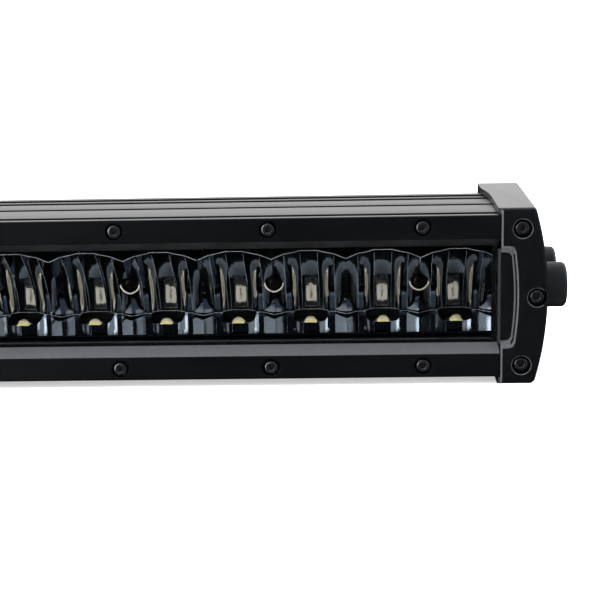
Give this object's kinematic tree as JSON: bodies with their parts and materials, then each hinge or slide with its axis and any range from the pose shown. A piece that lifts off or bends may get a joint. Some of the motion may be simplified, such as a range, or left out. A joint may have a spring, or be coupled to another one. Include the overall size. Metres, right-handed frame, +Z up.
{
  "type": "led light bar",
  "caption": "Straight single-row LED light bar: finned extruded housing, clear lens over half-bowl reflectors, cast end caps with hand-turned side bolts",
  "frame": {"origin": "middle of the bounding box's base, on the surface that the end caps stand on", "axes": "+X along the bar towards its right end as seen from the front, +Y from the lens towards the cooling fins, +Z up"},
  "size_m": [0.54, 0.0926, 0.0796],
  "materials": {
    "black_anodised_housing": "satin black anodised extrusion",
    "black_painted_bezel": "satin black paint",
    "clear_lens": "clear polycarbonate, glossy",
    "black_silicone_gasket": "matt black silicone",
    "black_end_gasket": "matt black foam rubber",
    "metallised_reflector": "vacuum-metallised, mirror bright",
    "black_solder_mask": "black solder mask",
    "emitter_dome": "clear silicone dome over yellow phosphor",
    "green_driver_board": "green solder mask with components",
    "black_powder_coat": "fine-textured black powder coat",
    "cast_end_plate": "blackened die casting",
    "black_zinc_screw": "black zinc-plated steel",
    "black_moulded_knob": "satin black moulding",
    "black_gland_plastic": "black nylon"
  },
  "bodies": {
    "bar": {"cable_gland_body": "black_gland_plastic", "cable_gland_nut": "black_gland_plastic", "cap_screw_bottom_left": "black_zinc_screw", "cap_screw_bottom_right": "black_zinc_screw", "cap_screw_middle_left": "black_zinc_screw", "cap_screw_middle_right": "black_zinc_screw", "cap_screw_top_left": "black_zinc_screw", "cap_screw_top_right": "black_zinc_screw", "driver_board": "green_driver_board", "end_cap_left": "black_powder_coat", "end_cap_right": "black_powder_coat", "end_gasket_left": "black_end_gasket", "end_gasket_right": "black_end_gasket", "end_plate_left": "cast_end_plate", "end_plate_right": "cast_end_plate", "heatsink_housing": "black_anodised_housing", "led_board": "black_solder_mask", "led_emitter_01": "emitter_dome", "led_emitter_02": "emitter_dome", "led_emitter_03": "emitter_dome", "led_emitter_04": "emitter_dome", "led_emitter_05": "emitter_dome", "led_emitter_06": "emitter_dome", "led_emitter_07": "emitter_dome", "led_emitter_08": "emitter_dome", "led_emitter_09": "emitter_dome", "led_emitter_10": "emitter_dome", "led_emitter_11": "emitter_dome", "led_emitter_12": "emitter_dome", "led_emitter_13": "emitter_dome", "led_emitter_14": "emitter_dome", "lens": "clear_lens", "lens_gasket": "black_silicone_gasket", "lower_bezel_rail": "black_painted_bezel", "lower_bezel_screw_1": "black_zinc_screw", "lower_bezel_screw_2": "black_zinc_screw", "lower_bezel_screw_3": "black_zinc_screw", "lower_bezel_screw_4": "black_zinc_screw", "lower_bezel_screw_5": "black_zinc_screw", "lower_bezel_screw_6": "black_zinc_screw", "lower_bezel_screw_7": "black_zinc_screw", "reflector_module_1": "metallised_reflector", "reflector_module_2": "metallised_reflector", "reflector_module_3": "metallised_reflector", "reflector_module_4": "metallised_reflector", "reflector_module_5": "metallised_reflector", "reflector_module_6": "metallised_reflector", "reflector_module_7": "metallised_reflector", "upper_bezel_rail": "black_painted_bezel", "upper_bezel_screw_1": "black_zinc_screw", "upper_bezel_screw_2": "black_zinc_screw", "upper_bezel_screw_3": "black_zinc_screw", "upper_bezel_screw_4": "black_zinc_screw", "upper_bezel_screw_5": "black_zinc_screw", "upper_bezel_screw_6": "black_zinc_screw", "upper_bezel_screw_7": "black_zinc_screw"},
    "side_knob_front_left_body": {"side_knob_front_left": "black_moulded_knob"},
    "side_knob_rear_left_body": {"side_knob_rear_left": "black_moulded_knob"},
    "side_knob_front_right_body": {"side_knob_front_right": "black_moulded_knob"},
    "side_knob_rear_right_body": {"side_knob_rear_right": "black_moulded_knob"}
  },
  "joints": [
    {"name": "side_knob_front_left_turn", "type": "hinge", "parent": "bar", "child": "side_knob_front_left_body", "pos_m": [-0.265, -0.02135, 0.04], "axis": [-1, 0, 0], "continuous": true},
    {"name": "side_knob_rear_left_turn", "type": "hinge", "parent": "bar", "child": "side_knob_rear_left_body", "pos_m": [-0.265, 0.01665, 0.04], "axis": [-1, 0, 0], "continuous": true},
    {"name": "side_knob_front_right_turn", "type": "hinge", "parent": "bar", "child": "side_knob_front_right_body", "pos_m": [0.265, -0.02135, 0.04], "axis": [1, 0, 0], "continuous": true},
    {"name": "side_knob_rear_right_turn", "type": "hinge", "parent": "bar", "child": "side_knob_rear_right_body", "pos_m": [0.265, 0.01665, 0.04], "axis": [1, 0, 0], "continuous": true}
  ]
}
